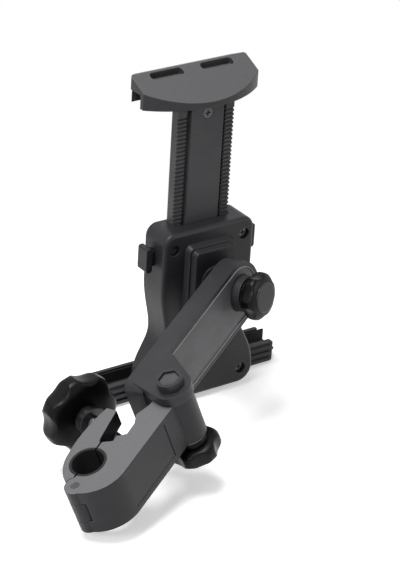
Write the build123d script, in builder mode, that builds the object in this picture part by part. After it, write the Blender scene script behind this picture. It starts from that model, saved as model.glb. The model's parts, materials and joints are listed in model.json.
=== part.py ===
"""Tablet holder: a cradle with a sliding top jaw, a short ball-jointed arm and a hinged pole clamp.

Frame: +Z is up along the cradle's slide, +Y points out of the cradle's face towards the tablet, and the
origin is the middle of that face.  Depths are measured from the face towards the arm, along -Y.
The arm and the clamp are drawn in their own planes: x runs along the arm, y out of its front panel and
z along the pivot bolt.
"""

import os
from math import cos, radians, sin

from build123d import *

# Tablet that the cradle takes
tablet_height = 185.7
tablet_thickness = 9.4
seat_height = -50.0

# Cradle housing
housing_top = 56.0
housing_bottom = -54.0
housing_half_top = 31.0
housing_half_waist = 27.0
housing_half_foot = 37.0
waist_height = -14.0
foot_height = -44.0
corner_radius = 7.0
pad_thickness = 1.0
plate_thickness = 2.5
housing_depth = 21.0
housing_edge = 2.5
joint_fit = 0.05
slide_gap = 0.3
seat_gap = 0.2

# Raised block that carries the ball stud
block_width = 29.0
block_height = 42.0
block_step = 3.5
block_margin = 2.5

# Slide bar and top jaw
bar_width = 38.0
bar_thickness = 7.6
bar_length = 113.0
panel_width = 22.0
groove_width = 2.2
groove_depth = 3.0
rail_drop = 1.2
tooth_pitch = 2.5
tooth_depth = 0.9
jaw_width = 78.0
jaw_back_depth = 18.0
jaw_wall = 3.5
jaw_rise = 8.0
jaw_skirt = 7.0
lip_drop = 8.0
tongue_length = 10.0
tongue_width = 26.0
slot_length = 22.0
slot_width = 5.0
slot_spacing = 34.0
jaw_screw_head = 3.2

# Bottom jaw
foot_length = 127.0
foot_floor = 5.5
foot_back_wall = 4.0
foot_back_rise = 7.0
foot_lip_rise = 8.0
foot_rib = 1.2
strip_overhang = 4.0

# Release buttons
button_height = 38.5
button_length = 15.0
button_depth = 9.0
button_proud = 4.0
stem_length = 8.0
stem_width = 9.0
stem_thickness = 5.0
button_travel = 2.5

# Ball joint: height above the face's middle, depth behind it
ball_height = 25.0
ball_depth = 43.0
ball_radius = 8.5
stud_radius = 4.0
neck_radius = 3.4
flange_radius = 8.0
flange_thickness = 2.0
arm_swivel = 22.3
arm_tilt = 22.5

# Arm
arm_width = 36.0
arm_front = 8.0
arm_back = 4.5
arm_length = 92.0
arm_overrun = 8.0
arm_corner = 5.0
cover_inset = 3.0
cover_recess = 1.2
cover_end = 74.0
collar_radius = 10.5
collar_rise = 5.0
bush_thickness = 3.5
cup_gap = 0.25
socket_gap = 0.06
opening_angle = 45.0

# Arm pivot
pivot_offset = 15.0
ear_thickness = 6.0
ear_radius = 11.0
bolt_radius = 3.0
head_across_flats = 10.0
head_height = 4.5
head_collar_radius = 7.4
head_collar_rise = 5.5

# Knobs
arm_knob_radius = 13.8
arm_knob_thickness = 11.0
arm_knob_lobes = 6
pivot_knob_radius = 15.0
pivot_knob_thickness = 12.0
pivot_hub_height = 3.5
pivot_hub_radius = 8.0
pivot_washer_thickness = 1.5
insert_radius = 4.6
clamp_knob_radius = 23.0
clamp_knob_thickness = 17.0
clamp_knob_lobes = 7
clamp_hub_height = 5.0
clamp_hub_radius = 7.5
clamp_washer_thickness = 1.5

# Pole clamp, drawn about the pivot: m along the arm, k out of its front
clamp_thickness = 30.0
barrel_radius = 10.0
side_rise = 5.0
pin_place = (76.0, -16.0)
pin_radius = 2.5
ear_round = 6.2
knuckle_height = 14.0
link_height = 4.0
bore_place = (59.0, -19.0)
bore_radius = 9.0
lining = 1.5
parting = 0.5
side_panel_start = 20.0
side_panel_length = 40.0
side_panel_height = 24.0
side_panel_depth = 1.0
screw_place = (26.0, -33.0)
screw_direction = (0.345, 0.939)
screw_radius = 4.0
screw_reach = 36.0
bare_screw = 13.0
nut_place = 32.0
nut_radius = 4.8
nut_length = 22.0
slot_clearance = 0.8

# Values that follow from the ones above
opening = tablet_thickness + 1.1
tablet_top = seat_height + tablet_height
plate_back = pad_thickness + plate_thickness
bar_front = plate_back + slide_gap
bar_back = bar_front + bar_thickness
channel_back = bar_back + slide_gap
channel_half = bar_width / 2 + slide_gap
block_face = housing_depth + 2 * block_step
pivot_depth = arm_front + pivot_offset
knob_seat = arm_front + collar_rise
half_arm = arm_width / 2
ear_bottom = half_arm - ear_thickness
clamp_bottom = ear_bottom - clamp_thickness
clamp_middle = ear_bottom - clamp_thickness / 2
foot_bottom = seat_height - pad_thickness - slide_gap - foot_floor

ball_centre = Vector(0, -ball_depth, ball_height)
along = Vector(
    -cos(radians(arm_swivel)) * cos(radians(arm_tilt)),
    -sin(radians(arm_tilt)),
    -sin(radians(arm_swivel)) * cos(radians(arm_tilt)),
)
bolt_up = Vector(-sin(radians(arm_swivel)), 0, cos(radians(arm_swivel)))
arm_plane = Plane(ball_centre, x_dir=along, z_dir=bolt_up)
outward = arm_plane.y_dir
pivot_plane = Plane(arm_plane.from_local_coords((arm_length, pivot_depth, 0)), x_dir=along, z_dir=bolt_up)
knob_axis = Axis(ball_centre, outward)

screw_inward = along * screw_direction[0] + outward * screw_direction[1]
screw_plane = Plane(
    pivot_plane.from_local_coords((screw_place[0], screw_place[1], clamp_middle)),
    x_dir=bolt_up,
    z_dir=screw_inward * -1,
)


def depth_plane(depth):
    """Plane at a depth behind the cradle's face: x is X, y is Z, extruding away from the tablet."""
    return Plane.XZ.offset(depth)


def panel_plane(height):
    """Plane across the arm's front at a height from the ball's centre: x runs along the arm."""
    return Plane(arm_plane.from_local_coords((0, height, 0)), x_dir=along, z_dir=outward)


def housing_outline():
    """Cradle outline: straight upper sides, a waist and a wider rounded foot."""
    with BuildLine() as line:
        top = Polyline(
            (0, housing_top),
            (housing_half_top - corner_radius, housing_top),
        )
        corner = TangentArc(
            (top @ 1),
            (housing_half_top, housing_top - corner_radius),
            tangent=(1, 0),
        )
        side = Line(corner @ 1, (housing_half_top, button_height - button_length))
        flank = Spline(
            side @ 1,
            (housing_half_waist, waist_height),
            (housing_half_foot, foot_height),
            tangents=[(0, -1), (0, -1)],
        )
        heel = TangentArc(
            flank @ 1,
            (housing_half_foot - corner_radius - 3, housing_bottom),
            tangent=(0, -1),
        )
        Line(heel @ 1, (0, housing_bottom))
        mirror(about=Plane.YZ)
    return line.line


def scalloped_disc(radius, lobes, scallop):
    """Knob outline: a disc with finger scallops."""
    Circle(radius)
    with PolarLocations(radius + scallop * 0.72, lobes):
        Circle(scallop, mode=Mode.SUBTRACT)


os.makedirs("parts", exist_ok=True)


def save(part, name):
    """Label a finished piece and write it."""
    part.label = name
    export_step(part, f"parts/{name}.step")


# Front plate of the cradle, above the bottom jaw
plate_bottom = seat_height + foot_back_rise
with BuildPart() as front_plate:
    with BuildSketch(depth_plane(pad_thickness)):
        add(housing_outline())
        make_face()
        with Locations((0, (plate_bottom + housing_bottom) / 2)):
            Rectangle(4 * housing_half_foot, plate_bottom - housing_bottom, mode=Mode.SUBTRACT)
    extrude(amount=plate_thickness)
save(front_plate.part, "front_plate")

# Soft pad on the plate, where the tablet's back rests
with BuildPart() as tablet_pad:
    with BuildSketch(Plane.XZ):
        RectangleRounded(2 * housing_half_waist - 8, 2 * housing_half_waist + 16, corner_radius)
    extrude(amount=pad_thickness)
save(tablet_pad.part, "tablet_pad")

# Rear housing with the slide channel, the stud block and the button pockets
pocket_depth = plate_back + 2.0
pocket_half = stem_thickness / 2 + slide_gap
pocket_centre = pocket_depth + pocket_half
with BuildPart() as rear_housing:
    with BuildSketch(depth_plane(plate_back)):
        add(housing_outline())
        make_face()
    extrude(amount=housing_depth - plate_back)
    rear_edges = rear_housing.faces().sort_by(Axis.Y)[0].edges()
    fillet(rear_edges, housing_edge)
    with BuildSketch(depth_plane(housing_depth)):
        with Locations((0, ball_height - 1)):
            RectangleRounded(block_width + 2 * block_margin, block_height + 2 * block_margin, 4)
    extrude(amount=block_step, taper=20)
    with BuildSketch(depth_plane(housing_depth + block_step)):
        with Locations((0, ball_height - 1)):
            RectangleRounded(block_width, block_height, 3)
    extrude(amount=block_step, taper=15)
    with BuildSketch(depth_plane(block_face)):
        with Locations((0, ball_height)):
            Circle(flange_radius + 1.5)
    extrude(amount=1)
    with BuildSketch(depth_plane(plate_back)):
        channel_floor = housing_bottom + 12
        with Locations((0, (channel_floor + housing_top + 2) / 2)):
            Rectangle(2 * channel_half, housing_top + 2 - channel_floor)
    extrude(amount=channel_back - plate_back, mode=Mode.SUBTRACT)
    with BuildSketch(depth_plane(plate_back)):
        with Locations((0, (plate_bottom + housing_bottom) / 2)):
            Rectangle(4 * housing_half_foot, plate_bottom - housing_bottom)
    extrude(amount=foot_back_wall - plate_thickness + seat_gap, mode=Mode.SUBTRACT)
    for side in (1, -1):
        with BuildSketch(depth_plane(pocket_depth)):
            with Locations((side * (housing_half_top - stem_length / 2 - button_travel / 2), button_height)):
                Rectangle(stem_length + button_travel + 0.6, stem_width + 2 * slide_gap)
        extrude(amount=2 * pocket_half, mode=Mode.SUBTRACT)
    with BuildSketch(depth_plane(block_face + 1)):
        with Locations((0, ball_height)):
            Circle(stud_radius + joint_fit)
    extrude(amount=-2 * block_step, mode=Mode.SUBTRACT)
    with BuildSketch(depth_plane(housing_depth)):
        with Locations((24, housing_top - 10), (-24, housing_top - 10), (28, foot_height), (-28, foot_height)):
            Circle(3.4)
    extrude(amount=-4, mode=Mode.SUBTRACT)
save(rear_housing.part, "rear_housing")

# Screws at the housing's four corners
with BuildPart() as housing_screws:
    with BuildSketch(depth_plane(housing_depth - 2)):
        with Locations((24, housing_top - 10), (-24, housing_top - 10), (28, foot_height), (-28, foot_height)):
            Circle(2.9)
    extrude(amount=-2)
    with BuildSketch(depth_plane(housing_depth - 2)):
        with Locations((24, housing_top - 10), (-24, housing_top - 10), (28, foot_height), (-28, foot_height)):
            Rectangle(3.2, 0.8)
            Rectangle(0.8, 3.2)
    extrude(amount=-1, mode=Mode.SUBTRACT)
save(housing_screws.part, "housing_screws")

# Bottom jaw: a long trough across the cradle's foot
foot_back = pad_thickness + foot_back_wall
with BuildPart() as bottom_jaw:
    with BuildSketch(Plane.YZ.offset(-foot_length / 2)):
        with BuildLine():
            Polyline(
                (-foot_back, foot_bottom),
                (opening + jaw_wall, foot_bottom),
                (opening + jaw_wall, seat_height + foot_lip_rise),
                (opening + 1, seat_height + foot_lip_rise),
                (opening + 1, foot_bottom + foot_floor),
                (-pad_thickness, foot_bottom + foot_floor),
                (-pad_thickness, seat_height + foot_back_rise - seat_gap),
                (-foot_back, seat_height + foot_back_rise - seat_gap),
                close=True,
            )
        make_face()
    extrude(amount=foot_length)
    fillet(bottom_jaw.edges().filter_by(Axis.X).sort_by(Axis.Z)[:2], 2)
    rib_inner = housing_half_foot + 1
    rib_length = foot_length / 2 - rib_inner - 2
    for side in (1, -1):
        with BuildSketch(depth_plane(foot_back)):
            with Locations((side * (rib_inner + rib_length / 2), (foot_bottom + seat_height + foot_back_rise) / 2)):
                with GridLocations(1, 4.2, 1, 3):
                    Rectangle(rib_length, 2.2)
        extrude(amount=foot_rib)
save(bottom_jaw.part, "bottom_jaw")

# Rubber strip in the bottom jaw, standing a little past its ends
with BuildPart() as bottom_jaw_strip:
    with BuildSketch(Plane.YZ.offset(-foot_length / 2 - strip_overhang)):
        with BuildLine():
            Polyline(
                (-pad_thickness, foot_bottom + foot_floor),
                (opening + 1, foot_bottom + foot_floor),
                (opening + 1, seat_height + foot_lip_rise - 1),
                (opening, seat_height + foot_lip_rise - 1),
                (opening, seat_height),
                (-pad_thickness, seat_height),
                close=True,
            )
        make_face()
    extrude(amount=foot_length + 2 * strip_overhang)
save(bottom_jaw_strip.part, "bottom_jaw_strip")

# Slide bar: a raised centre panel, a groove each side and a toothed rail outside it
bar_top = tablet_top - 3
bar_bottom = bar_top - bar_length
rail_half = bar_width / 2
groove_edge = panel_width / 2 + groove_width
rail_width = rail_half - groove_edge
tooth_count = int((bar_length - jaw_skirt - 6) / tooth_pitch)
screw_height = tablet_top - jaw_skirt - tongue_length / 2 - 1
with BuildPart() as slide_bar:
    with BuildSketch(Plane.XY.offset(bar_bottom)):
        with Locations((0, -(bar_front + bar_back) / 2)):
            Rectangle(bar_width, bar_thickness)
        for side in (1, -1):
            with Locations((side * (panel_width / 2 + groove_width / 2), -bar_back + groove_depth / 2)):
                Rectangle(groove_width, groove_depth, mode=Mode.SUBTRACT)
            with Locations((side * (rail_half - rail_width / 2), -bar_back + rail_drop / 2)):
                Rectangle(rail_width, rail_drop, mode=Mode.SUBTRACT)
    extrude(amount=bar_length)
    for side in (1, -1):
        with BuildSketch(Plane.YZ.offset(side * (rail_half - rail_width / 2 - rail_width / 2 * side))):
            rail_face = -bar_back + rail_drop
            with Locations((rail_face, bar_bottom + 3 + tooth_count * tooth_pitch / 2)):
                with GridLocations(1, tooth_pitch, 1, tooth_count):
                    Rectangle(2 * tooth_depth, tooth_pitch * 0.5)
        extrude(amount=rail_width, mode=Mode.SUBTRACT)
    with BuildSketch(depth_plane(bar_back)):
        with Locations((0, screw_height)):
            Circle(jaw_screw_head + 0.2)
    extrude(amount=-1.6, mode=Mode.SUBTRACT)
    with BuildSketch(depth_plane(bar_back)):
        with Locations((0, screw_height)):
            Circle(1.6)
    extrude(amount=-bar_thickness, mode=Mode.SUBTRACT)
save(slide_bar.part, "slide_bar")

# Top jaw: a hook with a sloping top, a wide convex back edge and two slots
jaw_front = opening + 1 + jaw_wall
seat_top = tablet_top + pad_thickness
with BuildPart() as top_jaw:
    with BuildSketch(Plane.YZ.offset(-jaw_width / 2)):
        with BuildLine():
            Polyline(
                (-jaw_back_depth, tablet_top - jaw_skirt),
                (-jaw_back_depth, tablet_top - jaw_skirt + 3.5),
                (jaw_front - 5, seat_top + jaw_rise),
                (jaw_front, seat_top + jaw_rise - 2),
                (jaw_front, tablet_top - lip_drop),
                (opening + 1, tablet_top - lip_drop),
                (opening + 1, seat_top),
                (-pad_thickness, seat_top),
                (-pad_thickness, tablet_top - jaw_skirt),
                close=True,
            )
        make_face()
    extrude(amount=jaw_width)
    with BuildSketch(Plane.XY.offset(tablet_top - 2 * lip_drop)):
        with BuildLine():
            back_arc = ThreePointArc(
                (-jaw_width / 2, -4), (0, -jaw_back_depth), (jaw_width / 2, -4)
            )
            Polyline(
                back_arc @ 1,
                (jaw_width / 2, jaw_front - 6),
                (jaw_width / 2 - 6, jaw_front),
                (-jaw_width / 2 + 6, jaw_front),
                (-jaw_width / 2, jaw_front - 6),
                back_arc @ 0,
            )
        make_face()
    extrude(amount=4 * lip_drop, mode=Mode.INTERSECT)
    with BuildSketch(Plane.XY.offset(seat_top + jaw_rise)):
        with Locations((0, opening / 2 + 1)):
            with GridLocations(slot_spacing, 1, 2, 1):
                SlotOverall(slot_length, slot_width)
    extrude(amount=-4.5, mode=Mode.SUBTRACT)
    with BuildSketch(Plane.XY.offset(tablet_top - jaw_skirt)):
        with Locations((0, -(bar_front + bar_back) / 2)):
            Rectangle(bar_width + 2 * joint_fit, bar_thickness + 2 * joint_fit)
    extrude(amount=bar_top - tablet_top + jaw_skirt, mode=Mode.SUBTRACT)
    with BuildSketch(depth_plane(pad_thickness)):
        with Locations((0, tablet_top - jaw_skirt - tongue_length / 2)):
            Rectangle(tongue_width, tongue_length)
    extrude(amount=bar_front - joint_fit - pad_thickness)
save(top_jaw.part, "top_jaw")

# Soft lining of the top jaw's hook
with BuildPart() as top_jaw_pad:
    with BuildSketch(Plane.YZ.offset(-jaw_width / 2 + 6)):
        with BuildLine():
            Polyline(
                (-pad_thickness, seat_top),
                (opening + 1, seat_top),
                (opening + 1, tablet_top - lip_drop + 1),
                (opening, tablet_top - lip_drop + 1),
                (opening, tablet_top),
                (-pad_thickness, tablet_top),
                close=True,
            )
        make_face()
    extrude(amount=jaw_width - 12)
save(top_jaw_pad.part, "top_jaw_pad")

# Screw that holds the jaw to the bar
with BuildPart() as top_jaw_screw:
    with BuildSketch(depth_plane(bar_back - 1.6)):
        with Locations((0, screw_height)):
            Circle(jaw_screw_head)
    extrude(amount=1.6)
    with BuildSketch(depth_plane(bar_back - 1.6)):
        with Locations((0, screw_height)):
            Circle(1.5)
    extrude(amount=-(bar_thickness - 1.6))
    with BuildSketch(depth_plane(bar_back)):
        with Locations((0, screw_height)):
            Rectangle(3.6, 0.9)
            Rectangle(0.9, 3.6)
    extrude(amount=-1, mode=Mode.SUBTRACT)
save(top_jaw_screw.part, "top_jaw_screw")

# Release buttons, one on each side of the housing
for side, name in ((1, "release_button_right"), (-1, "release_button_left")):
    with BuildPart() as button:
        with BuildSketch(depth_plane(pocket_centre - button_depth / 2)):
            with Locations((side * (housing_half_top + button_travel + seat_gap + button_proud / 2), button_height)):
                RectangleRounded(button_proud, button_length, 1.5)
        extrude(amount=button_depth)
        with BuildSketch(depth_plane(pocket_centre - stem_thickness / 2)):
            stem_outer = housing_half_top + button_travel + seat_gap + 1
            stem_inner = housing_half_top - stem_length + button_travel
            with Locations((side * (stem_outer + stem_inner) / 2, button_height)):
                Rectangle(stem_outer - stem_inner, stem_width)
        extrude(amount=stem_thickness)
    save(button.part, name)

# Ball stud: a shank in the block, a flange on its boss, a waisted neck and the ball
stud_foot = block_face + 1
with BuildPart() as ball_stud:
    with BuildSketch(Plane.XY.offset(ball_height)):
        with BuildLine():
            neck_top = ball_depth - (ball_radius**2 - neck_radius**2) ** 0.5
            ball_arc = ThreePointArc(
                (neck_radius, -neck_top), (ball_radius, -ball_depth), (0, -ball_depth - ball_radius)
            )
            Polyline(
                ball_arc @ 1,
                (0, -stud_foot + 2 * block_step - 1),
                (stud_radius, -stud_foot + 2 * block_step - 1),
                (stud_radius, -stud_foot),
                (flange_radius, -stud_foot),
                (flange_radius, -stud_foot - flange_thickness),
                (neck_radius, -stud_foot - flange_thickness - 1.5),
                ball_arc @ 0,
            )
        make_face()
    revolve(axis=Axis((0, 0, ball_height), (0, 1, 0)))
save(ball_stud.part, "ball_stud")

# Arm: a flat bar with a dog-leg ear that carries the pivot bolt, and the ball's socket
with BuildPart() as arm_body:
    with BuildSketch(panel_plane(-arm_back)):
        with Locations(((arm_length + arm_overrun) / 2, 0)):
            Rectangle(arm_length + arm_overrun, arm_width)
        Circle(half_arm)
    extrude(amount=arm_front + arm_back)
    upright_edges = arm_body.edges().filter_by(Axis((0, 0, 0), outward))
    fillet(upright_edges.sort_by(Axis((0, 0, 0), along))[-2:], arm_corner)
    with BuildSketch(arm_plane.offset(ear_bottom)):
        with Locations((arm_length, pivot_depth)):
            Circle(ear_radius)
        with Locations((arm_length + arm_overrun - 18, (arm_front - arm_back) / 2)):
            Rectangle(26, arm_front + arm_back)
        make_hull()
    extrude(amount=ear_thickness)
    with BuildSketch(arm_plane.offset(half_arm)):
        with Locations((arm_length, pivot_depth)):
            Circle(head_collar_radius)
            RegularPolygon(head_across_flats / 2 + 0.15, 6, major_radius=False, mode=Mode.SUBTRACT)
    extrude(amount=head_collar_rise)
    with BuildSketch(panel_plane(arm_front)):
        Circle(collar_radius)
    extrude(amount=collar_rise)
    with BuildSketch(panel_plane(arm_front)):
        with Locations((cover_end / 2, 0)):
            Rectangle(cover_end, arm_width - 2 * cover_inset)
        Circle(half_arm - cover_inset)
        Circle(collar_radius, mode=Mode.SUBTRACT)
    extrude(amount=-cover_recess, mode=Mode.SUBTRACT)
    with BuildSketch(arm_plane):
        socket = ball_radius + socket_gap
        mouth = socket * cos(radians(opening_angle))
        with BuildLine():
            cup_arc = RadiusArc((socket, 0), (mouth, -mouth), socket)
            Polyline(
                cup_arc @ 1,
                (mouth + arm_back, -mouth - arm_back),
                (0, -mouth - arm_back),
                (0, knob_seat + 1),
                (socket, knob_seat + 1),
                cup_arc @ 0,
            )
        make_face()
    revolve(axis=knob_axis, mode=Mode.SUBTRACT)
    with BuildSketch(arm_plane.offset(ear_bottom)):
        with Locations((arm_length, pivot_depth)):
            Circle(bolt_radius + joint_fit)
    extrude(amount=ear_thickness + head_collar_rise, mode=Mode.SUBTRACT)
save(arm_body.part, "arm_body")

# Cover plate in the arm's front recess
with BuildPart() as arm_cover:
    with BuildSketch(panel_plane(arm_front - cover_recess)):
        with Locations(((cover_end - seat_gap) / 2, 0)):
            Rectangle(cover_end - seat_gap, arm_width - 2 * cover_inset - 2 * seat_gap)
        Circle(half_arm - cover_inset - seat_gap)
        Circle(collar_radius + seat_gap, mode=Mode.SUBTRACT)
    extrude(amount=cover_recess - 0.3)
save(arm_cover.part, "arm_cover")

# Friction cup between the ball and the knob's screw
cup_top = knob_seat - bush_thickness - 0.3
cup_radius = ball_radius - 0.2
with BuildPart() as ball_cup:
    with BuildSketch(arm_plane):
        hollow = ball_radius + cup_gap
        rim = (hollow**2 - (cup_radius - 1) ** 2) ** 0.5
        with BuildLine():
            bowl = RadiusArc((cup_radius - 1, rim), (0, hollow), -hollow)
            Polyline(
                bowl @ 1,
                (0, cup_top),
                (cup_radius, cup_top),
                (cup_radius, rim),
                bowl @ 0,
            )
        make_face()
    revolve(axis=knob_axis)
save(ball_cup.part, "ball_cup")

# Threaded bush that closes the socket and takes the knob's screw
with BuildPart() as joint_bush:
    with BuildSketch(panel_plane(knob_seat - bush_thickness)):
        Circle(ball_radius + socket_gap - 0.02)
        Circle(bolt_radius + joint_fit, mode=Mode.SUBTRACT)
    extrude(amount=bush_thickness)
save(joint_bush.part, "joint_bush")

# Knob on the arm's front, its cap and its screw
knob_start = knob_seat + 0.8
with BuildPart() as arm_knob:
    with BuildSketch(panel_plane(knob_start)):
        scalloped_disc(arm_knob_radius, arm_knob_lobes, 5.0)
    extrude(amount=arm_knob_thickness - 1)
    chamfer(arm_knob.faces().sort_by(Axis((0, 0, 0), outward))[-1].edges(), 1)
    with BuildSketch(panel_plane(knob_start + arm_knob_thickness - 2)):
        Circle(arm_knob_radius - 5)
    extrude(amount=1.5, mode=Mode.SUBTRACT)
    with BuildSketch(panel_plane(knob_start)):
        Circle(bolt_radius + 0.02)
    extrude(amount=arm_knob_thickness - 4, mode=Mode.SUBTRACT)
save(arm_knob.part, "arm_knob")

with BuildPart() as arm_knob_cap:
    with BuildSketch(panel_plane(knob_start + arm_knob_thickness - 2)):
        Circle(arm_knob_radius - 5.1)
    extrude(amount=1.8)
    chamfer(arm_knob_cap.faces().sort_by(Axis((0, 0, 0), outward))[-1].edges(), 0.5)
save(arm_knob_cap.part, "arm_knob_cap")

with BuildPart() as arm_knob_screw:
    with BuildSketch(panel_plane(cup_top + 0.1)):
        Circle(bolt_radius)
    extrude(amount=knob_start + arm_knob_thickness - 4.2 - cup_top)
save(arm_knob_screw.part, "arm_knob_screw")

# Pivot bolt: hexagon head in the ear's collar, shank through the clamp's barrel to the knob
hub_bottom = clamp_bottom - pivot_washer_thickness - pivot_hub_height
pivot_knob_bottom = hub_bottom - pivot_knob_thickness
bolt_end = pivot_knob_bottom + 3
with BuildPart() as pivot_bolt:
    with BuildSketch(pivot_plane.offset(half_arm)):
        RegularPolygon(head_across_flats / 2, 6, major_radius=False)
    extrude(amount=head_height)
    with BuildSketch(pivot_plane.offset(half_arm)):
        Circle(bolt_radius)
    extrude(amount=bolt_end - half_arm)
save(pivot_bolt.part, "pivot_bolt")

with BuildPart() as pivot_washer:
    with BuildSketch(pivot_plane.offset(clamp_bottom - pivot_washer_thickness)):
        Circle(pivot_hub_radius + 1)
        Circle(bolt_radius + joint_fit, mode=Mode.SUBTRACT)
    extrude(amount=pivot_washer_thickness)
save(pivot_washer.part, "pivot_washer")

with BuildPart() as pivot_knob:
    with BuildSketch(pivot_plane.offset(hub_bottom)):
        Circle(pivot_hub_radius)
    extrude(amount=pivot_hub_height)
    with BuildSketch(pivot_plane.offset(pivot_knob_bottom)):
        scalloped_disc(pivot_knob_radius, arm_knob_lobes, 5.5)
    extrude(amount=pivot_knob_thickness)
    chamfer(pivot_knob.faces().sort_by(Axis((0, 0, 0), bolt_up))[0].edges(), 1.2)
    with BuildSketch(pivot_plane.offset(pivot_knob_bottom + 2)):
        Circle(insert_radius + 0.02)
    extrude(amount=pivot_knob_thickness + pivot_hub_height, mode=Mode.SUBTRACT)
save(pivot_knob.part, "pivot_knob")

with BuildPart() as pivot_insert:
    with BuildSketch(pivot_plane.offset(pivot_knob_bottom + 2)):
        Circle(insert_radius)
        Circle(bolt_radius + joint_fit, mode=Mode.SUBTRACT)
    extrude(amount=pivot_knob_thickness + pivot_hub_height - 2)
save(pivot_insert.part, "pivot_insert")

# Fixed half of the pole clamp
split_line = bore_place[1] - parting
bore_outer = bore_radius + lining
with BuildPart() as clamp_body:
    with BuildSketch(pivot_plane.offset(clamp_bottom)):
        with BuildLine():
            shoulder = ThreePointArc((bore_place[0], side_rise), (74.5, -1.2), (80.6, -12))
            Polyline(
                shoulder @ 1,
                (pin_place[0] - 4, split_line),
                (44, split_line),
                (41.4, -13.9),
                (38, -14.2),
                (34.5, -9.2),
                (26.4, -9.5),
                (20.4, -12.3),
                (12, -9),
                (0, -8),
                (0, side_rise),
                shoulder @ 0,
            )
        make_face()
        Circle(barrel_radius)
        with Locations(pin_place):
            Circle(ear_round)
        with Locations(bore_place):
            Circle(bore_outer, mode=Mode.SUBTRACT)
    extrude(amount=clamp_thickness)
    with BuildSketch(pivot_plane.offset(clamp_middle - knuckle_height / 2)):
        with Locations(pin_place):
            Circle(ear_round + 0.5)
        with Locations((pin_place[0] + ear_round, pin_place[1])):
            Rectangle(2 * ear_round, 2 * ear_round + 1)
    extrude(amount=knuckle_height, mode=Mode.SUBTRACT)
    with BuildSketch(pivot_plane.offset(clamp_bottom)):
        Circle(bolt_radius + joint_fit)
        with Locations(pin_place):
            Circle(pin_radius)
    extrude(amount=clamp_thickness, mode=Mode.SUBTRACT)
    panel_middle = side_panel_start + side_panel_length / 2
    with BuildSketch(pivot_plane.offset(clamp_middle - side_panel_height / 2)):
        with Locations((panel_middle, side_rise)):
            Rectangle(side_panel_length, 2 * side_panel_depth)
    extrude(amount=side_panel_height, mode=Mode.SUBTRACT)
    with BuildSketch(screw_plane.offset(-screw_reach - 0.5)):
        Circle(screw_radius + joint_fit)
    extrude(amount=screw_reach, mode=Mode.SUBTRACT)
    nut_centre = (
        screw_place[0] + screw_direction[0] * nut_place,
        screw_place[1] + screw_direction[1] * nut_place,
    )
    with BuildSketch(pivot_plane.offset(clamp_bottom)):
        with Locations(nut_centre):
            Circle(nut_radius + 0.02)
    extrude(amount=(clamp_thickness + nut_length) / 2, mode=Mode.SUBTRACT)
save(clamp_body.part, "clamp_body")

# Blank inset panel on the clamp's side
with BuildPart() as clamp_panel:
    with BuildSketch(pivot_plane.offset(clamp_middle - side_panel_height / 2 + seat_gap)):
        with Locations((panel_middle, side_rise - side_panel_depth + 0.35)):
            Rectangle(side_panel_length - 2 * seat_gap, 0.7)
    extrude(amount=side_panel_height - 2 * seat_gap)
save(clamp_panel.part, "clamp_panel")

# Moving jaw, hinged on the pin, with a slotted tip for the screw
jaw_line = split_line - parting * 2
with BuildPart() as clamp_jaw:
    with BuildSketch(pivot_plane.offset(clamp_bottom)):
        with BuildLine():
            belly = ThreePointArc((21, -31.6), (44, -34.4), (60, -33))
            heel = ThreePointArc(belly @ 1, (70, -28.4), (77, -20.5))
            Polyline(
                heel @ 1,
                (pin_place[0] - 4, jaw_line),
                (45, jaw_line),
                (42.4, -22),
                (21, -25),
                belly @ 0,
            )
        make_face()
        with Locations(bore_place):
            Circle(bore_outer, mode=Mode.SUBTRACT)
        with Locations(pin_place):
            Circle(ear_round + 0.4, mode=Mode.SUBTRACT)
    extrude(amount=clamp_thickness)
    with BuildSketch(pivot_plane.offset(clamp_middle - knuckle_height / 2 + slide_gap)):
        with Locations(pin_place):
            Circle(ear_round)
        with Locations((pin_place[0] - 2.5, jaw_line - link_height / 2)):
            Rectangle(7, link_height)
    extrude(amount=knuckle_height - 2 * slide_gap)
    with BuildSketch(pivot_plane.offset(clamp_bottom)):
        with Locations(pin_place):
            Circle(pin_radius + joint_fit, mode=Mode.ADD)
    extrude(amount=clamp_thickness, mode=Mode.SUBTRACT)
    slot_half = screw_radius + slot_clearance
    with BuildSketch(pivot_plane.offset(clamp_middle - slot_half)):
        with Locations((24, -28.5)):
            Rectangle(22, 16)
    extrude(amount=2 * slot_half, mode=Mode.SUBTRACT)
save(clamp_jaw.part, "clamp_jaw")

with BuildPart() as jaw_hinge_pin:
    with BuildSketch(pivot_plane.offset(clamp_bottom)):
        with Locations(pin_place):
            Circle(pin_radius - 0.01)
    extrude(amount=clamp_thickness)
save(jaw_hinge_pin.part, "jaw_hinge_pin")

# Rubber linings of the pole bore
lining_cut = 2 * bore_outer
with BuildPart() as clamp_pad:
    with BuildSketch(pivot_plane.offset(clamp_bottom)):
        with Locations(bore_place):
            Circle(bore_outer - 0.02)
            Circle(bore_radius, mode=Mode.SUBTRACT)
        with Locations((bore_place[0], split_line - lining_cut / 2)):
            Rectangle(2 * lining_cut, lining_cut, mode=Mode.SUBTRACT)
    extrude(amount=clamp_thickness)
save(clamp_pad.part, "clamp_pad")

with BuildPart() as jaw_pad:
    with BuildSketch(pivot_plane.offset(clamp_bottom)):
        with Locations(bore_place):
            Circle(bore_outer - 0.02)
            Circle(bore_radius, mode=Mode.SUBTRACT)
        with Locations((bore_place[0], jaw_line + lining_cut / 2)):
            Rectangle(2 * lining_cut, lining_cut, mode=Mode.SUBTRACT)
    extrude(amount=clamp_thickness)
save(jaw_pad.part, "jaw_pad")

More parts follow.
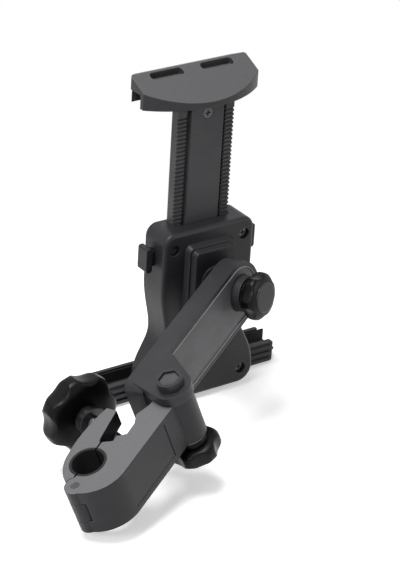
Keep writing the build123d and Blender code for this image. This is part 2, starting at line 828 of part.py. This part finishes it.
# Clamp screw, its barrel nut, washer and large knob
hub_start = bare_screw + clamp_washer_thickness
knob_base = hub_start + clamp_hub_height
with BuildPart() as barrel_nut:
    with BuildSketch(pivot_plane.offset(clamp_middle - nut_length / 2)):
        with Locations(nut_centre):
            Circle(nut_radius)
    extrude(amount=nut_length)
    with BuildSketch(screw_plane.offset(-nut_place - 2 * nut_radius)):
        Circle(screw_radius + joint_fit)
    extrude(amount=4 * nut_radius, mode=Mode.SUBTRACT)
save(barrel_nut.part, "barrel_nut")

with BuildPart() as clamp_screw:
    with BuildSketch(screw_plane.offset(-screw_reach)):
        Circle(screw_radius)
    extrude(amount=screw_reach + knob_base + clamp_knob_thickness / 2)
save(clamp_screw.part, "clamp_screw")

with BuildPart() as clamp_washer:
    with BuildSketch(screw_plane.offset(bare_screw)):
        Circle(clamp_hub_radius + 1.5)
        Circle(screw_radius + joint_fit, mode=Mode.SUBTRACT)
    extrude(amount=clamp_washer_thickness)
save(clamp_washer.part, "clamp_washer")

with BuildPart() as clamp_knob:
    with BuildSketch(screw_plane.offset(hub_start)):
        Circle(clamp_hub_radius)
    extrude(amount=clamp_hub_height)
    with BuildSketch(screw_plane.offset(knob_base)):
        scalloped_disc(clamp_knob_radius, clamp_knob_lobes, 7.0)
    extrude(amount=clamp_knob_thickness)
    chamfer(clamp_knob.faces().sort_by(Axis((0, 0, 0), screw_plane.z_dir))[-1].edges(), 3)
    with BuildSketch(screw_plane.offset(hub_start)):
        Circle(screw_radius + 0.02)
    extrude(amount=clamp_hub_height + clamp_knob_thickness / 2, mode=Mode.SUBTRACT)
save(clamp_knob.part, "clamp_knob")
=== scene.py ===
# %% [markdown]
# # A tablet holder in moulded plastic
# The object is a cradle with a sliding top jaw, a short folding arm and a hinged pole clamp. Its solids come
# packed, in metres, and stay where they are. This lesson dresses them: it sets the camera and the light,
# makes each finish from nodes, and builds the pieces whose surface is richer than the solid's, such as the
# knobs with their finger dimples and the threaded screw.

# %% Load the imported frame
import json
import math

import bpy
import numpy as np
from mathutils import Matrix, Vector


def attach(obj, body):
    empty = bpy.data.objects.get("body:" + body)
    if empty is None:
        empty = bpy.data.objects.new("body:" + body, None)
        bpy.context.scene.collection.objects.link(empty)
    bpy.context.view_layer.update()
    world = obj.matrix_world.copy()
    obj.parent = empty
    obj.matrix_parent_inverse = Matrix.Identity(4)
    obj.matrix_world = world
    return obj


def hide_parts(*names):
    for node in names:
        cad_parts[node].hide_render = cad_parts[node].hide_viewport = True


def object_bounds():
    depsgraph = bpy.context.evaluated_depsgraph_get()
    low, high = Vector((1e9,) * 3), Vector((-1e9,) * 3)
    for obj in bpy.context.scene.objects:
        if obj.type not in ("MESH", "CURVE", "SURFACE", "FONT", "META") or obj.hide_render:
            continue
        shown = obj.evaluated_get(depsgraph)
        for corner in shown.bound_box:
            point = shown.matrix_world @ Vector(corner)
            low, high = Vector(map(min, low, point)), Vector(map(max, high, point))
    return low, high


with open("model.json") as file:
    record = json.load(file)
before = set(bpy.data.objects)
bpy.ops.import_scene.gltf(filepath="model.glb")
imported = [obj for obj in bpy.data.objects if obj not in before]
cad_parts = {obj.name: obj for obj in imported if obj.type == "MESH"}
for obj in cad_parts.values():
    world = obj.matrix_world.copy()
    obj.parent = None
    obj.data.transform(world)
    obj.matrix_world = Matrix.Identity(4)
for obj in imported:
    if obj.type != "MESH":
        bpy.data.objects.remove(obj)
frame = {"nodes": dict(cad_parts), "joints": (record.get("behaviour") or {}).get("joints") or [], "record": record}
cad_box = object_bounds()
nodes = frame["nodes"]
joints = {joint["name"]: joint for joint in frame["joints"]}

# %% [markdown]
# ## Camera
# The photograph was taken from the arm's side, from the left and a little above, with a long lens. A camera
# can be aimed by eye, but here its axes are known: three unit vectors give its right, up and backward
# directions in the object's frame, and one point of the object with its pixel gives the place.

# %% Camera at the photograph's viewpoint
MM = 0.001
FRAME_SIZE = np.array([400.0, 570.0])
FOCAL_PIXELS = 2350.0
RIGHT = np.array([0.8236, -0.5646, 0.0539])
DOWN = np.array([-0.2194, -0.4048, -0.8877])
ANCHOR = np.array([0.0, 0.0, -50.0]) * MM
ANCHOR_PIXEL = np.array([181.1, 372.5])
# Pixels a metre at the anchor.
ANCHOR_SCALE = 1.675 / MM
SENSOR = 24.0
CLIP_END = 20.0


def unit(vector):
    """The vector divided by its length."""
    vector = np.asarray(vector, float)
    return vector / np.linalg.norm(vector)


def camera_axes():
    """Right, up and backward directions, made square to one another."""
    right = unit(RIGHT)
    up = unit(-DOWN + right * (DOWN @ right))
    return right, up, np.cross(right, up)


def add_camera():
    """Camera whose long lens puts the anchor point on its pixel, at the anchor's scale."""
    right, up, back = camera_axes()
    across, below = (ANCHOR_PIXEL - FRAME_SIZE / 2) / ANCHOR_SCALE
    away = FOCAL_PIXELS / ANCHOR_SCALE
    place = ANCHOR - right * across + up * below + back * away
    data = bpy.data.cameras.new("camera")
    data.sensor_fit = "VERTICAL"
    data.sensor_height = SENSOR
    data.lens = SENSOR * FOCAL_PIXELS / FRAME_SIZE[1]
    data.clip_end = CLIP_END
    camera = bpy.data.objects.new("camera", data)
    bpy.context.collection.objects.link(camera)
    matrix = np.eye(4)
    matrix[:3, 0], matrix[:3, 1], matrix[:3, 2], matrix[:3, 3] = right, up, back, place
    camera.matrix_world = Matrix(matrix)
    bpy.context.scene.camera = camera
    print("camera at", np.round(place, 3), "lens", round(data.lens, 1))


add_camera()

# %% [markdown]
# ## Floor and light
# The holder is shown on plain white, as in a catalogue. One pale sheet catches the soft shadow near the
# object and fades out further away, so that the white surround shows there and no horizon is seen. A bent
# backdrop would hide the horizon too, but from one side only. A soft lamp overhead gives the upper faces
# their satin sheen, a weaker one fills the arm's front, and a small one at the side draws the bright lines
# along the edges.

# %% Floor, world and lamps
FLOOR_COLOUR = (0.9, 0.9, 0.9, 1.0)
FLOOR_GLOW = 0.42
FLOOR_HALF = 1.2
FLOOR_DROP = 0.0004
FADE_START, FADE_END = 0.16, 0.34
WORLD_LIGHT = 0.26
WHITE = (1.0, 1.0, 1.0, 1.0)
LAMP_UP = (0.0, 0.2, 1.0)
# Offset from the middle of the holder and width, in metres, and power in watts.
LAMPS = {
    "overhead": ((-0.3, 0.0, 0.9), 0.45, 11.0),
    "front_fill": ((0.8, -0.8, 0.3), 0.6, 2.6),
    "edge_light": ((-0.9, -0.25, 0.45), 0.3, 3.0),
}


def seen_directly(tree):
    """1 for camera, glossy and transmission rays, and 0 for the rays that carry light."""
    path = tree.nodes.new("ShaderNodeLightPath")
    total = path.outputs["Is Camera Ray"]
    for name in ("Is Glossy Ray", "Is Transmission Ray"):
        either = tree.nodes.new("ShaderNodeMath")
        either.operation = "MAXIMUM"
        tree.links.new(total, either.inputs[0])
        tree.links.new(path.outputs[name], either.inputs[1])
        total = either.outputs[0]
    return total


def paper_material(centre):
    """White paper: matt, with a glow for the eye alone, fading to nothing away from the centre."""
    material = bpy.data.materials.new("floor_paper")
    material.use_nodes = True
    tree = material.node_tree
    tree.nodes.remove(tree.nodes["Principled BSDF"])
    matt = tree.nodes.new("ShaderNodeBsdfDiffuse")
    matt.inputs["Color"].default_value = FLOOR_COLOUR
    glow = tree.nodes.new("ShaderNodeEmission")
    brightness = tree.nodes.new("ShaderNodeMath")
    brightness.operation = "MULTIPLY"
    brightness.inputs[1].default_value = FLOOR_GLOW
    tree.links.new(seen_directly(tree), brightness.inputs[0])
    tree.links.new(brightness.outputs[0], glow.inputs["Strength"])
    sheet = tree.nodes.new("ShaderNodeAddShader")
    tree.links.new(matt.outputs[0], sheet.inputs[0])
    tree.links.new(glow.outputs[0], sheet.inputs[1])
    place = tree.nodes.new("ShaderNodeTexCoord")
    reach = tree.nodes.new("ShaderNodeVectorMath")
    reach.operation = "DISTANCE"
    reach.inputs[1].default_value = centre
    tree.links.new(place.outputs["Object"], reach.inputs[0])
    fade = tree.nodes.new("ShaderNodeMapRange")
    fade.interpolation_type = "SMOOTHSTEP"
    fade.inputs["From Min"].default_value = FADE_START
    fade.inputs["From Max"].default_value = FADE_END
    tree.links.new(reach.outputs["Value"], fade.inputs["Value"])
    clear = tree.nodes.new("ShaderNodeBsdfTransparent")
    mix = tree.nodes.new("ShaderNodeMixShader")
    tree.links.new(fade.outputs["Result"], mix.inputs["Fac"])
    tree.links.new(sheet.outputs[0], mix.inputs[1])
    tree.links.new(clear.outputs[0], mix.inputs[2])
    tree.links.new(mix.outputs[0], tree.nodes["Material Output"].inputs["Surface"])
    return material


def add_floor(centre):
    """Square sheet of paper under a point."""
    corners = np.array([[-1, -1, 0], [1, -1, 0], [1, 1, 0], [-1, 1, 0]]) * FLOOR_HALF
    mesh = bpy.data.meshes.new("floor")
    mesh.from_pydata((corners + centre).tolist(), [], [(0, 1, 2, 3)])
    floor = bpy.data.objects.new("floor", mesh)
    bpy.context.collection.objects.link(floor)
    mesh.materials.append(paper_material(centre))


def add_lamp(name, place, aim, size, watts):
    """Square soft lamp at a place, turned towards a point."""
    data = bpy.data.lights.new(name, "AREA")
    data.size = size
    data.energy = watts
    lamp = bpy.data.objects.new(name, data)
    bpy.context.collection.objects.link(lamp)
    back = unit(np.asarray(place) - np.asarray(aim))
    side = unit(np.cross(LAMP_UP, back))
    matrix = np.eye(4)
    matrix[:3, 0], matrix[:3, 1], matrix[:3, 2], matrix[:3, 3] = side, np.cross(back, side), back, place
    lamp.matrix_world = Matrix(matrix)


def light_world():
    """White surround for the eye and in reflections, which lights the object at one low level."""
    world = bpy.data.worlds.new("studio")
    bpy.context.scene.world = world
    world.use_nodes = True
    tree = world.node_tree
    background = tree.nodes["Background"]
    background.inputs["Color"].default_value = WHITE
    strength = tree.nodes.new("ShaderNodeMapRange")
    strength.inputs["To Min"].default_value = WORLD_LIGHT
    strength.inputs["To Max"].default_value = 1.0
    tree.links.new(seen_directly(tree), strength.inputs["Value"])
    tree.links.new(strength.outputs["Result"], background.inputs["Strength"])


low, high = (np.array(corner) for corner in cad_box)
middle = (low + high) / 2
add_floor(np.array([middle[0], middle[1], low[2] - FLOOR_DROP]))
light_world()
for name, (offset, size, watts) in LAMPS.items():
    add_lamp(name, middle + offset, middle, size, watts)
bpy.context.scene.view_settings.view_transform = "Standard"
print("box", np.round((high - low) / MM, 1), "mm")

# %% [markdown]
# ## Finishes
# Nearly every piece is dark moulded plastic with a fine grain: matt, speckled and faintly clouded. The grain
# could be an image, but noise on Object coordinates has the right size on every piece and needs no
# unwrapping. A bevel node rounds the shading of the sharp edges, so that they catch the light as a moulded
# edge does.

# %% Helpers for node materials
SHEEN = 0.24
SPECKLE_DETAIL = 3.0
SPECKLE_SHARE = 0.35
CLOUD_SCALE, CLOUD_DETAIL = 60.0, 4.0
CLOUD_LOW, CLOUD_HIGH = 0.1, 0.55
MOTTLE = ((0.2, 0.65), (0.45, 1.0), (0.75, 1.6))
SMOOTHER, ROUGHER = 0.07, 0.09
BEVEL_SAMPLES = 6
BUMP_STRENGTH = 0.5


def new_material(name):
    """New material, its node tree and its Principled shader."""
    material = bpy.data.materials.new(name)
    material.use_nodes = True
    tree = material.node_tree
    return material, tree, tree.nodes["Principled BSDF"]


def object_noise(tree, scale, detail):
    """Noise on Object coordinates; the scale is in cells a metre."""
    place = tree.nodes.new("ShaderNodeTexCoord")
    noise = tree.nodes.new("ShaderNodeTexNoise")
    noise.inputs["Scale"].default_value = scale
    noise.inputs["Detail"].default_value = detail
    tree.links.new(place.outputs["Object"], noise.inputs["Vector"])
    return noise.outputs["Fac"]


def colour_ramp(tree, value, stops):
    """Colour ramp through (position, colour) stops."""
    ramp = tree.nodes.new("ShaderNodeValToRGB")
    elements = ramp.color_ramp.elements
    while len(elements) < len(stops):
        elements.new(0.5)
    for element, (position, colour) in zip(elements, stops):
        element.position = position
        element.color = (*colour, 1.0)
    tree.links.new(value, ramp.inputs["Fac"])
    return ramp.outputs["Color"]


def mapped(tree, value, low_out, high_out):
    """Value between 0 and 1 carried to another range."""
    node = tree.nodes.new("ShaderNodeMapRange")
    node.inputs["To Min"].default_value = low_out
    node.inputs["To Max"].default_value = high_out
    tree.links.new(value, node.inputs["Value"])
    return node.outputs["Result"]


def mottled(colour, mottle):
    """Ramp stops of one colour: each position with the colour multiplied by its factor."""
    return [(position, tuple(channel * factor for channel in colour)) for position, factor in mottle]


def grained_plastic(name, colour, roughness, grain=1500.0, relief=0.00004, edge=0.0007):
    """Moulded plastic: mottled colour, fine grain relief and softly rounded edges."""
    material, tree, shader = new_material(name)
    speckle = object_noise(tree, grain, SPECKLE_DETAIL)
    cloud = object_noise(tree, CLOUD_SCALE, CLOUD_DETAIL)
    blend = tree.nodes.new("ShaderNodeMath")
    blend.operation = "MULTIPLY_ADD"
    blend.inputs[1].default_value = SPECKLE_SHARE
    tree.links.new(speckle, blend.inputs[0])
    tree.links.new(mapped(tree, cloud, CLOUD_LOW, CLOUD_HIGH), blend.inputs[2])
    tint = colour_ramp(tree, blend.outputs[0], mottled(colour, MOTTLE))
    tree.links.new(tint, shader.inputs["Base Color"])
    sheen = mapped(tree, speckle, roughness - SMOOTHER, roughness + ROUGHER)
    tree.links.new(sheen, shader.inputs["Roughness"])
    rounded = tree.nodes.new("ShaderNodeBevel")
    rounded.samples = BEVEL_SAMPLES
    rounded.inputs["Radius"].default_value = edge
    bump = tree.nodes.new("ShaderNodeBump")
    bump.inputs["Strength"].default_value = BUMP_STRENGTH
    bump.inputs["Distance"].default_value = relief
    tree.links.new(speckle, bump.inputs["Height"])
    tree.links.new(rounded.outputs["Normal"], bump.inputs["Normal"])
    tree.links.new(bump.outputs["Normal"], shader.inputs["Normal"])
    shader.inputs["Specular IOR Level"].default_value = SHEEN
    return material


# %% [markdown]
# ## Painted light on the flat faces
# The clamp's flat faces and the top jaw's roof and underside are painted paler than their sides: painted light,
# where the light from above falls on them. The faces could be picked by hand and given a second material, but the
# surface's own direction tells them apart, and the painted light then follows any change of the solid.

# %% Faces that look along a direction
# Painted light: where the flat faces are painted paler, and the speckled colour painted there.
MASK_START, MASK_END = 0.55, 0.85
PAINTED_LIGHT_GRAIN = 1300.0
PAINTED_LIGHT_MOTTLE = ((0.25, 0.88), (0.5, 1.0), (0.75, 1.14))


def painted_light_mask(tree, direction):
    """Mask of the painted light: 1 where a face looks along a direction, either way, and 0 where it looks across
    it.
    """
    place = tree.nodes.new("ShaderNodeTexCoord")
    dot = tree.nodes.new("ShaderNodeVectorMath")
    dot.operation = "DOT_PRODUCT"
    dot.inputs[1].default_value = tuple(direction)
    tree.links.new(place.outputs["Normal"], dot.inputs[0])
    size = tree.nodes.new("ShaderNodeMath")
    size.operation = "ABSOLUTE"
    tree.links.new(dot.outputs["Value"], size.inputs[0])
    mask = tree.nodes.new("ShaderNodeMapRange")
    mask.inputs["From Min"].default_value = MASK_START
    mask.inputs["From Max"].default_value = MASK_END
    tree.links.new(size.outputs[0], mask.inputs["Value"])
    return mask.outputs["Result"]


def shader_of(material):
    """A material's Principled shader."""
    return material.node_tree.nodes["Principled BSDF"]


def paint_light_along(material, direction, colour):
    """Paint light into a finish: carry its colour towards a lighter one on the faces that look along a direction.
    """
    tree = material.node_tree
    shader = shader_of(material)
    base = shader.inputs["Base Color"].links[0].from_socket
    speckle = object_noise(tree, PAINTED_LIGHT_GRAIN, SPECKLE_DETAIL)
    painted_light = colour_ramp(tree, speckle, mottled(colour, PAINTED_LIGHT_MOTTLE))
    mix = tree.nodes.new("ShaderNodeMix")
    mix.data_type = "RGBA"
    colour_in = [socket for socket in mix.inputs if socket.type == "RGBA"]
    colour_out = [socket for socket in mix.outputs if socket.type == "RGBA"]
    tree.links.new(painted_light_mask(tree, direction), mix.inputs[0])
    tree.links.new(base, colour_in[0])
    tree.links.new(painted_light, colour_in[1])
    tree.links.new(colour_out[0], shader.inputs["Base Color"])


# %% [markdown]
# ## One finish for each piece
# The record names a slot for every solid, and each slot gets one finish. The arm's cover, its bead and the
# knob's cap share a slot with darker neighbours and get a paler finish of their own. A colour attribute could
# do this too, but a second material is plainer.

# %% Finishes of this holder
UPWARD = (0.0, 0.0, 1.0)
KNOB_SHEEN = 0.14
# Colours of the painted light on the clamp's flat faces and the jaw's roof.
CLAMP_PAINTED_LIGHT = (0.115, 0.115, 0.119)
JAW_PAINTED_LIGHT = (0.07, 0.07, 0.073)
RUBBER_GRAIN = dict(grain=2600.0, relief=0.00003)
STEEL_GRAIN = dict(grain=3000.0, relief=0.000006, edge=0.0002)
BRASS_GRAIN = dict(grain=2000.0, relief=0.000005, edge=0.0002)
# Colour, roughness and, where it isn't the plastic's own, the grain of each slot.
LOOKS = {
    "housing_plastic": ((0.013, 0.013, 0.015), 0.42, {}),
    "jaw_plastic": ((0.026, 0.026, 0.028), 0.36, {}),
    "slide_plastic": ((0.042, 0.042, 0.045), 0.42, {}),
    "arm_plastic": ((0.021, 0.021, 0.024), 0.4, {}),
    "clamp_plastic": ((0.008, 0.008, 0.01), 0.42, {}),
    "knob_plastic": ((0.002, 0.002, 0.0025), 0.3, {}),
    "soft_rubber": ((0.009, 0.009, 0.009), 0.7, RUBBER_GRAIN),
    "dark_steel": ((0.085, 0.085, 0.09), 0.3, STEEL_GRAIN),
    "brass_insert": ((0.72, 0.52, 0.22), 0.3, BRASS_GRAIN),
    "cup_plastic": ((0.5, 0.5, 0.47), 0.5, {}),
}

bolt_up = unit(joints["arm_fold"]["axis"])
finishes = {}
for slot, (colour, roughness, own_grain) in LOOKS.items():
    finishes[slot] = grained_plastic(slot, colour, roughness, **own_grain)
cover_finish = grained_plastic("cover_satin", (0.085, 0.085, 0.089), 0.36)
bead_finish = grained_plastic("bead_satin", (0.16, 0.16, 0.165), 0.3)
cap_finish = grained_plastic("cap_satin", (0.022, 0.022, 0.024), 0.34)
# Painted light: the faces along these directions are painted paler than their sides.
paint_light_along(finishes["clamp_plastic"], bolt_up, CLAMP_PAINTED_LIGHT)
paint_light_along(finishes["jaw_plastic"], UPWARD, JAW_PAINTED_LIGHT)
for metal in ("dark_steel", "brass_insert"):
    shader_of(finishes[metal]).inputs["Metallic"].default_value = 1.0
shader_of(finishes["knob_plastic"]).inputs["Specular IOR Level"].default_value = KNOB_SHEEN
own_finish = {"arm_cover": cover_finish, "arm_knob_cap": cap_finish}
for entry in frame["record"]["subparts"]:
    mesh = nodes[entry["node"]].data
    mesh.materials.clear()
    mesh.materials.append(own_finish.get(entry["node"], finishes[entry["material_slot"]]))
print("finishes", len(finishes) + len(own_finish))

# %% [markdown]
# ## Turned pieces
# The knobs and the clamp screw are all turned shapes, so one function carries a profile round an axis. It
# takes whole arrays: a height for each step of the profile, and a radius for each step and each angle. A
# screw modifier could spin a profile too, but it can't let the radius change with the angle, which is what
# makes finger dimples and a thread.

# %% Carry a profile round an axis
OFF_AXIS = (0.3, 0.5, 0.81)


def axis_frame(axis):
    """The axis with two directions square to it and to each other, in right-handed order."""
    axis = unit(axis)
    first = unit(np.cross(axis, OFF_AXIS))
    return first, np.cross(axis, first), axis


def add_mesh(name, vertices, faces, material):
    """Smooth mesh object from points in metres and a list of faces."""
    mesh = bpy.data.meshes.new(name)
    mesh.from_pydata(vertices.tolist(), [], faces)
    mesh.polygons.foreach_set("use_smooth", np.ones(len(mesh.polygons), bool))
    mesh.materials.append(material)
    piece = bpy.data.objects.new(name, mesh)
    bpy.context.collection.objects.link(piece)
    print(name, len(vertices), "points")
    return piece


def turned(name, origin, axis, height, radius, material):
    """Closed turned piece.

    Each point lies at origin + height * axis + radius * (cos(angle) * first + sin(angle) * second).
    The first and the last step of the profile are single points on the axis.
    """
    first, second, axis = axis_frame(axis)
    steps, sides = radius.shape
    angle = np.arange(sides) * 2 * math.pi / sides
    spoke = np.cos(angle)[:, None] * first + np.sin(angle)[:, None] * second
    rings = height[1:-1, None, None] * axis + radius[1:-1, :, None] * spoke[None]
    ends = height[[0, -1], None] * axis
    vertices = np.asarray(origin) + np.vstack([rings.reshape(-1, 3), ends]) * MM
    index = np.arange((steps - 2) * sides).reshape(steps - 2, sides)
    ahead = np.roll(index, -1, axis=1)
    quads = np.stack([index[:-1], ahead[:-1], ahead[1:], index[1:]], axis=-1).reshape(-1, 4)
    foot, tip = index.size, index.size + 1
    foot_fan = np.stack([np.full(sides, foot), ahead[0], index[0]], axis=-1)
    tip_fan = np.stack([np.full(sides, tip), index[-1], ahead[-1]], axis=-1)
    faces = quads.tolist() + foot_fan.tolist() + tip_fan.tolist()
    return add_mesh(name, vertices, faces, material)


# %% [markdown]
# ## Knobs
# All three knobs are moulded mushrooms: a short hub, a swelling head and finger dimples round the rim. The
# head is a squared ellipse. Each dimple is an oval bowl, pressed into the rim: its depth falls with the
# square of the distance from its middle, and stops at a clear edge, which catches the light. Bowls could be
# cut out with a Boolean modifier; here the radius itself dips, so each knob stays one clean grid.

# %% Mushroom knobs
KNOB_SIDES = 210
HEAD_STEPS = 64
SQUARENESS = 0.62
DIMPLE_SHARE = 0.37
DIMPLE_RISE = 0.75
NO_DIMPLE = 9.0
CRISP = 0.12


def knob_profile(radius, hub_radius, bore, bore_end, hub_start, head_start, head_end):
    """Height, radius and place across the rim, from the blind bore over the hub and round the head.

    The head's radius is the full radius times sin(turn) ** squareness.  Its height is the middle less half
    the thickness times the signed cos(turn) ** squareness, as turn goes from the hub to half a circle.
    """
    start = math.asin((hub_radius / radius) ** (1 / SQUARENESS))
    turn = np.linspace(start, math.pi, HEAD_STEPS)
    sine, cosine = np.clip(np.sin(turn), 0, 1), np.cos(turn)
    head_radius = radius * sine**SQUARENESS
    half = (head_end - head_start) / 2
    lift = np.sign(cosine) * np.abs(cosine) ** SQUARENESS
    head_height = (head_start + head_end) / 2 - half * lift
    hub_height = [bore_end, bore_end, bore_end - CRISP, hub_start, hub_start, hub_start + CRISP]
    hub_reach = [0.0, bore, bore, bore, hub_radius - CRISP, hub_radius]
    height = np.concatenate([hub_height, head_height])
    reach = np.concatenate([hub_reach, head_radius])
    rise = np.concatenate([np.full(len(hub_height), NO_DIMPLE), (turn - math.pi / 2) / DIMPLE_RISE])
    reach[-1] = 0.0
    return height, reach, rise


def knob(name, joint, way, lobes, bite, sizes):
    """Dimpled mushroom knob on a joint's axis, its head towards way times the axis.

    The radius is the profile's, less bite * (1 - across ** 2 - rise ** 2) where that is more than nothing:
    across runs round the rim and rise over it, both from a dimple's middle.  Sizes are in millimetres.
    """
    height, reach, rise = knob_profile(**sizes)
    angle = np.arange(KNOB_SIDES) * 2 * math.pi / KNOB_SIDES
    across = (np.mod(lobes * angle / (2 * math.pi) + 0.5, 1.0) - 0.5) / DIMPLE_SHARE
    hollow = np.clip(1 - across[None] ** 2 - rise[:, None] ** 2, 0, 1)
    radius = np.maximum(reach[:, None] - bite * hollow, 0)
    axis = way * np.array(joints[joint]["axis"])
    return turned(name, joints[joint]["pos_m"], axis, height, radius, finishes["knob_plastic"])


def dress(piece, body, slot, *replaced):
    """Let a piece move with a body and stand for the nodes that it replaces; the slot is not used."""
    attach(piece, body)
    if replaced:
        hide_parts(*replaced)


CLAMP_LOBES, CLAMP_BITE = 7, 2.6
ARM_LOBES, ARM_BITE = 6, 1.8
PIVOT_LOBES, PIVOT_BITE = 6, 2.0
clamp_knob_sizes = dict(
    radius=23.0, hub_radius=7.5, bore=4.02, bore_end=28.0, hub_start=14.5, head_start=19.5, head_end=36.5
)
arm_knob_sizes = dict(
    radius=13.8, hub_radius=9.5, bore=3.02, bore_end=20.8, hub_start=13.8, head_start=14.2, head_end=24.2
)
pivot_knob_sizes = dict(
    radius=15.0, hub_radius=8.0, bore=4.62, bore_end=33.0, hub_start=19.5, head_start=23.0, head_end=35.0
)
clamp_knob = knob("clamp_knob_head", "clamp_knob_turn", 1, CLAMP_LOBES, CLAMP_BITE, clamp_knob_sizes)
arm_knob = knob("arm_knob_head", "arm_knob_turn", 1, ARM_LOBES, ARM_BITE, arm_knob_sizes)
pivot_knob = knob("pivot_knob_head", "pivot_knob_turn", -1, PIVOT_LOBES, PIVOT_BITE, pivot_knob_sizes)
dress(clamp_knob, "clamp_knob", "knob_plastic", "clamp_knob")
dress(arm_knob, "arm_knob", "knob_plastic", "arm_knob")
dress(pivot_knob, "pivot_knob", "knob_plastic", "pivot_knob")

# %% [markdown]
# ## Clamp screw
# The screw's thread shows between the jaw and the knob. A tooth could be swept along a helix; here the radius
# of a turned piece follows a triangle wave of height and angle, which climbs by one pitch in each turn. This
# way the thread runs out softly at both ends, and the screw is one closed piece.

# %% Threaded screw
THREAD_SIDES = 36
THREAD_STEPS = 360
THREAD_PITCH = 1.5
THREAD_ROOT, THREAD_CREST = 3.3, 4.0
THREAD_FOOT, THREAD_END = -36.0, 28.0
THREAD_RUNOUT = 1.5


def threaded_screw():
    """Screw whose radius is the root plus a triangle wave of height / pitch - angle / turn.

    The wave runs out to nothing at both ends.
    """
    height = np.linspace(THREAD_FOOT, THREAD_END, THREAD_STEPS)
    angle = np.arange(THREAD_SIDES) / THREAD_SIDES
    phase = np.mod(height[:, None] / THREAD_PITCH - angle[None], 1.0)
    ridge = 1 - np.abs(2 * phase - 1)
    end_room = np.minimum(height - THREAD_FOOT, THREAD_END - height)
    runout = np.clip(end_room / THREAD_RUNOUT, 0, 1)
    radius = THREAD_ROOT + (THREAD_CREST - THREAD_ROOT) * ridge * runout[:, None]
    height = np.concatenate([height[:1], height, height[-1:]])
    radius = np.vstack([radius[:1] * 0, radius, radius[-1:] * 0])
    joint = joints["clamp_knob_turn"]
    return turned("clamp_screw_thread", joint["pos_m"], joint["axis"], height, radius, finishes["dark_steel"])


dress(threaded_screw(), "clamp_knob", "dark_steel", "clamp_screw")

# %% [markdown]
# ## Rim of the arm's cover
# A fine raised bead frames the cover and catches the light as a bright line. It is a round section carried
# along a closed path: half a circle round the knob, then the two sides and the rounded end of the cover. A
# bevelled curve would give the same bead; the arrays show how such a sweep is made.

# %% Bead round the arm's cover
BEAD_HALF = 15.0
BEAD_END = 74.0
BEAD_CORNER = 4.0
BEAD_RADIUS = 0.4
BEAD_HEIGHT = 8.0
BEAD_SIDES = 10
CORNER_POINTS, KNOB_POINTS = 9, 41


def bead_path():
    """Closed path, along and across the arm: an arc at the knob, and two rounded corners at the end."""
    corner = np.linspace(0, math.pi / 2, CORNER_POINTS)
    far, side = BEAD_END - BEAD_CORNER, BEAD_HALF - BEAD_CORNER
    right = np.stack([far + BEAD_CORNER * np.sin(corner), -side - BEAD_CORNER * np.cos(corner)], axis=1)
    left = (right * [1, -1])[::-1]
    knob_turn = np.linspace(math.pi / 2, 3 * math.pi / 2, KNOB_POINTS)
    knob_arc = BEAD_HALF * np.stack([np.cos(knob_turn), np.sin(knob_turn)], axis=1)
    return np.vstack([right, left, knob_arc])


def cover_bead():
    """Round section along the closed path: place + radius * (cos(turn) * sideways + sin(turn) * outward)."""
    outward = unit(joints["arm_knob_turn"]["axis"])
    along = np.cross(outward, bolt_up)
    path = bead_path()
    tangent = np.roll(path, -1, axis=0) - np.roll(path, 1, axis=0)
    tangent /= np.linalg.norm(tangent, axis=1, keepdims=True)
    plane = np.stack([along, bolt_up])
    sideways = np.stack([tangent[:, 1], -tangent[:, 0]], axis=1) @ plane
    turn = np.arange(BEAD_SIDES) * 2 * math.pi / BEAD_SIDES
    section = np.cos(turn)[None, :, None] * sideways[:, None] + np.sin(turn)[None, :, None] * outward
    points = (path @ plane + BEAD_HEIGHT * outward)[:, None] + BEAD_RADIUS * section
    index = np.arange(len(path) * BEAD_SIDES).reshape(len(path), BEAD_SIDES)
    ahead, turned_on = np.roll(index, -1, axis=0), np.roll(index, -1, axis=1)
    both = np.roll(ahead, -1, axis=1)
    quads = np.stack([index, turned_on, both, ahead], axis=-1).reshape(-1, 4)
    vertices = np.array(joints["arm_knob_turn"]["pos_m"]) + points.reshape(-1, 3) * MM
    return add_mesh("cover_bead", vertices, quads.tolist(), bead_finish)


dress(cover_bead(), "arm", "arm_plastic")
